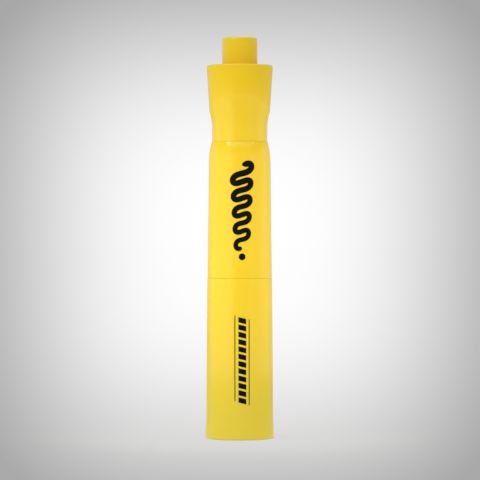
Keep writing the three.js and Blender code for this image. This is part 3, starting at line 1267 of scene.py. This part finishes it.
@dataclass
class InkSystem:
    """The reservoir, its film and its breather tube: the frame's own solids, each with its finish."""

    finishes: dict[str, Finish] = field(
        default_factory=lambda: {
            "reservoir_core": RESERVOIR_FIBRE,
            "reservoir_film": RESERVOIR_FILM,
            "breather_tube": NATURAL_PLASTIC,
        }
    )

    def dress(self) -> None:
        """Gives each solid its material."""
        for node, finish in self.finishes.items():
            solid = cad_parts[node]
            if not solid.material_slots:
                solid.data.materials.append(finish.material())
            for slot in solid.material_slots:
                slot.material = finish.material()
            LOG.info("%s keeps its solid and takes %s", node, finish.name)


# ---------------------------------------------------------------------------- tail


@dataclass
class Tail:
    """The tail: a straight neck that flares out above arches at front and back, and a plug with a stud."""

    place: Place
    neck_radius: float = 8.55
    neck_top_radius: float = 8.62
    neck_length: float = 4.3
    flare_length: float = 5.2
    corner_radius: float = 9.44
    corner_fillet: float = 1.5
    arch_rise: float = 5.2
    wall: float = 1.25
    spigot_length: float = 6.0
    spigot_radius: float = 7.45
    spigot_bore: float = 6.45
    seat: float = 0.45
    disc: float = 1.8
    end_edge: float = 0.5
    post_radius: float = 5.475
    post_draft: float = 0.05
    post_edge: float = 0.5
    stud_wall: float = 1.1
    skirt_length: float = 5.0
    skirt_wall: float = 1.0
    fin_width: float = 1.2
    fin_inner: float = 0.5
    fin_count: int = 4
    gap: float = 0.05

    @property
    def corner_z(self) -> float:
        """The height of the flare's corner at the sides."""
        return self.place.rear_z + self.neck_length + self.flare_length

    @property
    def draw(self) -> float:
        """How fast the cone above the corner widens."""
        return (self.place.tail_radius - self.corner_radius) / (self.place.end_z - self.corner_z)

    @property
    def seat_bore(self) -> float:
        """The radius of the recess that the plug's disc sits in."""
        return self.place.tail_radius - self.wall

    @property
    def seat_z(self) -> float:
        """The height of the recess's floor."""
        return self.place.end_z - self.disc

    @property
    def funnel(self) -> float:
        """The bore's radius just below the recess."""
        return self.seat_bore - self.seat

    @property
    def inner_draw(self) -> float:
        """How fast the bore above the corner widens."""
        return (self.funnel - self.corner_radius + self.wall) / (self.seat_z - self.corner_z)

    def outline(self, angle: float) -> list[Point]:
        """The tail's outline in one direction.

        Args:
            angle: The direction, from the front towards the right.

        Returns:
            Points as radius and height.
        """
        rise = self.arch_rise * math.cos(angle - FACING) ** 2
        rear, end = self.place.rear_z, self.place.end_z
        straight_z = rear + self.neck_length + rise
        corner_z = self.corner_z + rise
        corner = self.corner_radius + self.draw * rise
        flare = bend(
            (self.neck_top_radius, straight_z),
            (self.neck_top_radius, (straight_z + corner_z) / 2),
            (corner, corner_z),
        )
        corners = [
            Corner(self.spigot_bore, rear - self.spigot_length),
            Corner(self.spigot_radius, rear - self.spigot_length, 0.2),
            Corner(self.spigot_radius, rear),
            Corner(self.neck_radius, rear),
            *flare[:-1],
            Corner(corner, corner_z, self.corner_fillet),
            Corner(self.place.tail_radius, end, self.end_edge),
            Corner(self.seat_bore, end, 0.06),
            Corner(self.seat_bore, self.seat_z),
            Corner(self.funnel, self.seat_z),
            Corner(self.corner_radius - self.wall + self.inner_draw * rise, corner_z),
            Corner(self.neck_top_radius - self.wall, straight_z),
            Corner(self.spigot_bore, rear),
        ]
        return rounded(corners, closed=True)

    def build(self) -> None:
        """Builds and dresses the tail's pieces."""
        neck = lofted("tail_moulding", shaped_rings(self.outline), closed=True)
        dress(neck, YELLOW_PLASTIC, Body.PEN, Slot.YELLOW, "tail_neck")
        self.build_plug()

    def build_plug(self) -> None:
        """Builds the plug and the crossed fins inside its skirt."""
        end, top, seat_z = self.place.end_z, self.place.top_z, self.seat_z
        skirt_z = seat_z - self.skirt_length
        skirt = self.funnel - self.inner_draw * self.skirt_length - self.gap
        disc = self.seat_bore - self.gap
        stud = self.post_radius - self.post_draft
        bore = stud - self.stud_wall
        corners = [
            Corner(0.0, top),
            Corner(stud, top, self.post_edge),
            Corner(self.post_radius, end, 0.18),
            Corner(disc, end, 0.06),
            Corner(disc, seat_z),
            Corner(skirt, seat_z),
            Corner(skirt, skirt_z, 0.15),
            Corner(skirt - self.skirt_wall, skirt_z, 0.15),
            Corner(skirt - self.skirt_wall, seat_z),
            Corner(bore, seat_z),
            Corner(bore, top - self.stud_wall),
            Corner(0.0, top - self.stud_wall),
        ]
        plug = lofted("tail_plug_moulding", turned_rings(rounded(corners, closed=False)), closed=False)
        dress(plug, YELLOW_PLASTIC, Body.PEN, Slot.YELLOW, "tail_plug")
        reach = skirt - self.skirt_wall / 2
        fins = RibRing(
            "plug_fins",
            self.fin_count,
            self.fin_inner,
            reach,
            skirt_z,
            seat_z + self.disc / 2,
            self.fin_width,
            turn=0.0,
        )
        dress(fins.build(YELLOW_PLASTIC), YELLOW_PLASTIC, Body.PEN, Slot.YELLOW)


# ---------------------------------------------------------------------------- printing


def flat_plate(
    name: str, left: Sequence[Point], right: Sequence[Point], columns: int, film: float
) -> bpy.types.Object:
    """A thin flat plate between two edges, cut into columns so that it can be wrapped round a surface.

    Args:
        name: The object's name.
        left: Its left edge, as x and z, from one end to the other.
        right: Its right edge, with as many points.
        columns: How many strips it has from left to right.
        film: Its thickness.

    Returns:
        The plate, standing in the XZ plane with its face towards -Y.
    """
    made = bmesh.new()
    layers = []
    for y in (-film, FILM_SINK * film):
        grid = []
        for (x0, z0), (x1, z1) in zip(left, right):
            row = []
            for column in range(columns + 1):
                share = column / columns
                row.append(made.verts.new(Vector((x0 + (x1 - x0) * share, y, z0 + (z1 - z0) * share)) * MM))
            grid.append(row)
        layers.append(grid)
    front, back = layers
    rows = len(left) - 1
    for grid in layers:
        for row in range(rows):
            for column in range(columns):
                here, below = grid[row], grid[row + 1]
                made.faces.new((here[column], here[column + 1], below[column + 1], below[column]))
    border = [(0, column) for column in range(columns)] + [(row, columns) for row in range(rows)]
    border += [(rows, column) for column in range(columns, 0, -1)] + [(row, 0) for row in range(rows, 0, -1)]
    for here, ahead in zip(border, border[1:] + border[:1]):
        (r0, c0), (r1, c1) = here, ahead
        made.faces.new((front[r0][c0], front[r1][c1], back[r1][c1], back[r0][c0]))
    bmesh.ops.recalc_face_normals(made, faces=made.faces)
    return finished(name, made)


@dataclass
class Printing:
    """Black pad printing: two rules and slanted bars on the cap, and a winding stroke on the barrel."""

    place: Place
    cap: Cap
    barrel: Barrel
    film: float = 0.012
    cap_zone: tuple[float, float] = (8.0, 42.0)
    rule_width: float = 0.26
    rule_offsets: tuple[float, float] = (-2.25, 2.2)
    rule_tops: tuple[float, float] = (38.6, 37.35)
    rule_length: float = 26.5
    bar_left: float = -1.15
    bar_right: float = 1.25
    bar_top: float = 38.1
    bar_height: float = 1.6
    bar_slant: float = 0.6
    bar_count: int = 12
    bar_pitch: float = 2.25
    stroke_top: float = 85.0
    stroke_count: int = 10
    stroke_pitch: float = 2.55
    stroke_swings: tuple[float, float] = (3.1, 1.9)
    stroke_widths: tuple[float, float] = (1.95, 1.45)
    stroke_roundness: float = 0.5
    stroke_slant: float = 0.3
    stroke_steps: int = 420
    stroke_nudge: float = 1e-4
    least_half: float = 0.004
    dot_radius: float = 1.05
    dot_drop: float = 1.1
    dot_steps: int = 32
    dot_least: float = 0.002

    def build(self) -> None:
        """Builds and dresses the printing."""
        self.build_cap_print()
        self.build_barrel_print()

    def build_cap_print(self) -> None:
        """Prints the two rules and the row of bars on the cap."""
        low_z, high_z = self.cap_zone
        surface = Wrap(low_z, self.cap.radius_at(low_z), high_z, self.cap.radius_at(high_z), FACING)
        names = ("cap_rule_left", "cap_rule_right")
        for name, offset, top in zip(names, self.rule_offsets, self.rule_tops):
            half, bottom = self.rule_width / 2, top - self.rule_length
            left = [(offset - half, bottom), (offset - half, top)]
            right = [(offset + half, bottom), (offset + half, top)]
            rule = flat_plate(name + "_flat", left, right, columns=2, film=self.film)
            dress(surface.printed(name, rule, 1, 0.0), BLACK_INK, Body.CAP, None)
        bottom = self.bar_top - self.bar_height
        left = [(self.bar_left, bottom), (self.bar_left, self.bar_top)]
        right = [(self.bar_right, bottom - self.bar_slant), (self.bar_right, self.bar_top - self.bar_slant)]
        bar = flat_plate("cap_bar_flat", left, right, columns=8, film=self.film)
        bars = surface.printed("cap_bars", bar, self.bar_count, self.bar_pitch)
        dress(bars, BLACK_INK, Body.CAP, None)

    def stroke_point(self, share: float) -> Vector:
        """A point on the middle of the winding stroke.

        Args:
            share: From 0 at its top to 1 at its bottom.

        Returns:
            The point, as x and z.
        """
        turn = math.pi * self.stroke_count * share
        swing = self.stroke_swings[0] + (self.stroke_swings[1] - self.stroke_swings[0]) * share
        x = swing * math.sin(turn)
        down = self.stroke_pitch * turn / math.pi - self.stroke_roundness * math.sin(2 * turn)
        return Vector((x, self.stroke_top - down + self.stroke_slant * x))

    def stroke_edges(self) -> tuple[list[Point], list[Point]]:
        """The two edges of the winding stroke, which is round at both ends.

        Returns:
            The left and the right edge.
        """
        left, right = [], []
        for step in range(self.stroke_steps + 1):
            share = step / self.stroke_steps
            here = self.stroke_point(share)
            ahead = self.stroke_point(share + self.stroke_nudge)
            along = (ahead - self.stroke_point(share - self.stroke_nudge)).normalized()
            side = Vector((-along.y, along.x))
            width = self.stroke_widths[0] + (self.stroke_widths[1] - self.stroke_widths[0]) * share
            nearest_end = min(share, 1 - share) * self.stroke_count * 2 * sum(self.stroke_swings) / 2
            past = max(0.0, 1 - nearest_end / (width / 2))
            half = max(width / 2 * math.sqrt(1 - past**2), self.least_half)
            left.append(tuple(here + side * half))
            right.append(tuple(here - side * half))
        return left, right

    def build_barrel_print(self) -> None:
        """Prints the winding stroke and its dot on the barrel."""
        low_z, high_z = self.place.seam_z, self.place.rear_z - self.barrel.shoulder_length
        surface = Wrap(low_z, self.place.body_radius, high_z, self.barrel.rear_radius, FACING)
        left, right = self.stroke_edges()
        stroke = flat_plate("stroke_flat", left, right, columns=6, film=self.film)
        dress(surface.printed("barrel_stroke", stroke, 1, 0.0), BLACK_INK, Body.PEN, None)
        middle = self.stroke_top - (self.stroke_count + self.dot_drop) * self.stroke_pitch
        left, right = [], []
        for step in range(self.dot_steps + 1):
            turn = math.pi * step / self.dot_steps
            reach = self.dot_radius * math.sin(turn) + self.dot_least
            z = middle - self.dot_radius * math.cos(turn)
            left.append((-reach, z))
            right.append((reach, z))
        dot = flat_plate("dot_flat", left, right, columns=8, film=self.film)
        dress(surface.printed("barrel_dot", dot, 1, 0.0), BLACK_INK, Body.PEN, None)


# ---------------------------------------------------------------------------- studio


WHITE: Color = (1.0, 1.0, 1.0)
WARM: Color = (1.0, 0.94, 0.82)  # the tint of the lights on the right
RING_DISTANCE = 62.0  # from the pen's axis to the ring of close lights
RING_WIDTH = 50.0
RING_HEIGHT = 86.0


@dataclass(frozen=True)
class SoftLight:
    """A soft box that points at the middle of the pen and stays out of sight."""

    name: str
    azimuth: float
    elevation: float
    distance: float
    width: float
    height: float
    power: float
    color: Color = WHITE


def ring_light(name: str, azimuth: float, power: float, color: Color = WHITE) -> SoftLight:
    """One of the close lights that stand in a ring round the pen.

    Args:
        name: Its name.
        azimuth: Degrees from the front towards the right.
        power: Its power, in watts.
        color: Its tint.

    Returns:
        The light.
    """
    return SoftLight(name, azimuth, 0.0, RING_DISTANCE, RING_WIDTH, RING_HEIGHT, power, color)


@dataclass(frozen=True)
class SkyGlow:
    """A broad soft brightness of the surroundings round one direction."""

    azimuth: float
    elevation: float
    strength: float
    sharpness: float = 6.0


def direction(azimuth: float, elevation: float) -> Vector:
    """The direction from the pen to a place round it.

    Args:
        azimuth: Degrees from the front towards the right.
        elevation: Degrees above the floor.

    Returns:
        A vector of length 1.
    """
    turn, rise = math.radians(azimuth), math.radians(elevation)
    return Vector((math.sin(turn) * math.cos(rise), -math.cos(turn) * math.cos(rise), math.sin(rise)))


@dataclass
class Studio:
    """The floor, the glow behind the pen, the lights and the camera."""

    middle_z: float = 61.9
    camera_distance: float = 830.0
    camera_side: float = 0.08
    lens: float = 199.2
    sensor: float = 36.0
    floor_radius: float = 20000.0
    floor_steps: int = 96
    glow_reach: float = 0.0939
    glow_fall: float = 3.15
    glow_squareness: float = 3.0
    least_back: float = 1e-4
    dimmest: float = 0.39
    ambient: float = 0.39
    ambient_reach: tuple[float, float] = (0.13, 0.3)
    floor_glow: float = 0.892
    floor_matt: float = 0.15
    glows: tuple[SkyGlow, ...] = (
        SkyGlow(-120.0, 0.0, 0.318, 4.0),
        SkyGlow(120.0, 0.0, 0.151, 4.0),
        SkyGlow(0.0, 90.0, 1.5, 10.0),
    )
    lights_z: float = 61.0
    lights: tuple[SoftLight, ...] = (
        ring_light("front", 0.0, 0.0034),
        ring_light("front_left", -44.0, 0.0148),
        ring_light("side_left", -88.0, 0.0096),
        ring_light("rear_left", -132.0, 0.0012),
        ring_light("front_right", 44.0, 0.0086, WARM),
        ring_light("side_right", 88.0, 0.0124, WARM),
        ring_light("rear_right", 132.0, 0.0032, WARM),
        SoftLight("above_left", -49.0, 36.0, 300.0, 30.0, 12.0, 0.115),
        SoftLight("above_right", 60.0, 36.0, 300.0, 24.0, 12.0, 0.038, WARM),
        SoftLight("above_front", 0.0, 36.0, 300.0, 420.0, 40.0, 0.1),
    )

    def build(self) -> None:
        """Builds the studio."""
        self.build_camera()
        self.build_floor()
        self.build_glow()
        for light in self.lights:
            self.build_light(light)

    def build_camera(self) -> None:
        """Places the camera at the pen's middle height, facing its front."""
        camera = bpy.data.objects.new("camera", bpy.data.cameras.new("camera"))
        camera.data.lens = self.lens
        camera.data.sensor_width = self.sensor
        camera.location = Vector((self.camera_side, -self.camera_distance, self.middle_z)) * MM
        camera.rotation_euler = (math.pi / 2, 0.0, 0.0)
        bpy.context.scene.collection.objects.link(camera)
        bpy.context.scene.camera = camera
        bpy.context.scene.view_settings.view_transform = "Standard"

    def glow(
        self, nodes: NodeMaker, where: bpy.types.NodeSocket, rise: float, start: float, far: object
    ) -> bpy.types.NodeSocket:
        """The brightness of the backdrop, which falls off from a line straight back through the pen.

        Args:
            nodes: Makes the nodes.
            where: A place, or a direction.
            rise: The line's height, in metres.
            start: How far in front of the pen the line starts.
            far: The brightness far off the line.

        Returns:
            The brightness.
        """
        parts = nodes.node("ShaderNodeSeparateXYZ", {0: where}).outputs
        up = nodes.math("SUBTRACT", parts["Z"], rise)
        sides = [
            nodes.math("POWER", nodes.math("ABSOLUTE", value), self.glow_squareness)
            for value in (parts["X"], up)
        ]
        off = nodes.math("POWER", nodes.math("ADD", *sides), 1.0 / self.glow_squareness)
        back = nodes.math("MAXIMUM", nodes.math("ADD", parts["Y"], start), self.least_back)
        slope = nodes.math("DIVIDE", off, back)
        fall = nodes.math("POWER", nodes.math("DIVIDE", slope, self.glow_reach), self.glow_fall)
        inputs = {
            "Value": slope,
            "From Min": self.ambient_reach[0],
            "From Max": self.ambient_reach[1],
            "To Min": self.dimmest,
            "To Max": far,
        }
        least = nodes.node("ShaderNodeMapRange", inputs, interpolation_type="SMOOTHSTEP").outputs["Result"]
        return nodes.math("MAXIMUM", nodes.math("DIVIDE", 1.0, nodes.math("ADD", fall, 1.0)), least)

    def build_floor(self) -> None:
        """Builds the pale floor. It glows: its emission paints the falloff of light round the pen, and a
        small matt share takes real shadows.
        """
        outline = [(0.0, 0.0), (self.floor_radius, 0.0)]
        floor = lofted("floor", turned_rings(outline, self.floor_steps), closed=False)
        if floor.data.polygons[0].normal.z < 0:
            floor.data.flip_normals()
        shader = Shader("pale_floor")
        # Painted light: the floor's glow falls off the same way as the backdrop's, brightest on the line
        # behind the pen.
        level = self.glow(shader, shader.where(), self.middle_z * MM, self.camera_distance * MM, self.ambient)
        color = shader.node("ShaderNodeCombineColor", {0: level, 1: level, 2: level}).outputs[0]
        light = shader.node("ShaderNodeEmission", {"Color": color, "Strength": self.floor_glow})
        matt = shader.math("MULTIPLY", level, self.floor_matt)
        gray = shader.node("ShaderNodeCombineColor", {0: matt, 1: matt, 2: matt}).outputs[0]
        diffuse = shader.node("ShaderNodeBsdfDiffuse", {"Color": gray})
        both = shader.node("ShaderNodeAddShader", {0: light.outputs[0], 1: diffuse.outputs[0]})
        floor.data.materials.append(shader.end(both.outputs[0]))

    def build_glow(self) -> None:
        """Lights the surroundings, brightest straight behind the pen."""
        world = bpy.data.worlds.new("studio")
        bpy.context.scene.world = world
        world.use_nodes = True
        world.node_tree.nodes.clear()
        nodes = NodeMaker(world.node_tree)
        where = nodes.node("ShaderNodeTexCoord").outputs["Generated"]
        around: object = self.ambient
        for glow in self.glows:
            towards = direction(glow.azimuth, glow.elevation)
            facing = nodes.node("ShaderNodeVectorMath", {0: where, 1: towards}, operation="DOT_PRODUCT")
            share = nodes.math("POWER", nodes.math("MAXIMUM", facing.outputs["Value"], 0.0), glow.sharpness)
            around = nodes.math("ADD", around, nodes.math("MULTIPLY", share, glow.strength))
        level = self.glow(nodes, where, 0.0, 0.0, around)
        color = nodes.node("ShaderNodeCombineColor", {0: level, 1: level, 2: level}).outputs[0]
        background = nodes.node("ShaderNodeBackground", {"Color": color})
        nodes.node("ShaderNodeOutputWorld", {"Surface": background.outputs[0]})

    def build_light(self, light: SoftLight) -> None:
        """Places one soft box.

        Args:
            light: Its sizes.
        """
        data = bpy.data.lights.new(light.name, "AREA")
        data.shape = "RECTANGLE"
        data.size = light.width * MM
        data.size_y = light.height * MM
        data.energy = light.power
        data.color = light.color
        away = direction(light.azimuth, light.elevation)
        lamp = bpy.data.objects.new(light.name, data)
        lamp.location = (Vector((0.0, 0.0, self.lights_z)) + away * light.distance) * MM
        lamp.rotation_euler = away.to_track_quat("Z", "Y").to_euler()
        lamp.visible_camera = False
        bpy.context.scene.collection.objects.link(lamp)


# ---------------------------------------------------------------------------- the whole


def main() -> None:
    """Builds the studio and every piece in order."""
    logging.basicConfig(level=logging.INFO, format="%(name)s: %(message)s")
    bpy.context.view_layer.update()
    place = Place.from_frame()
    cap = Cap(place)
    barrel = Barrel(place)
    Studio().build()
    cap.build()
    barrel.build()
    Nose(place).build()
    Nib(place).build()
    InkSystem().dress()
    Tail(place).build()
    Printing(place, cap, barrel).build()


if __name__ == "__main__":
    main()
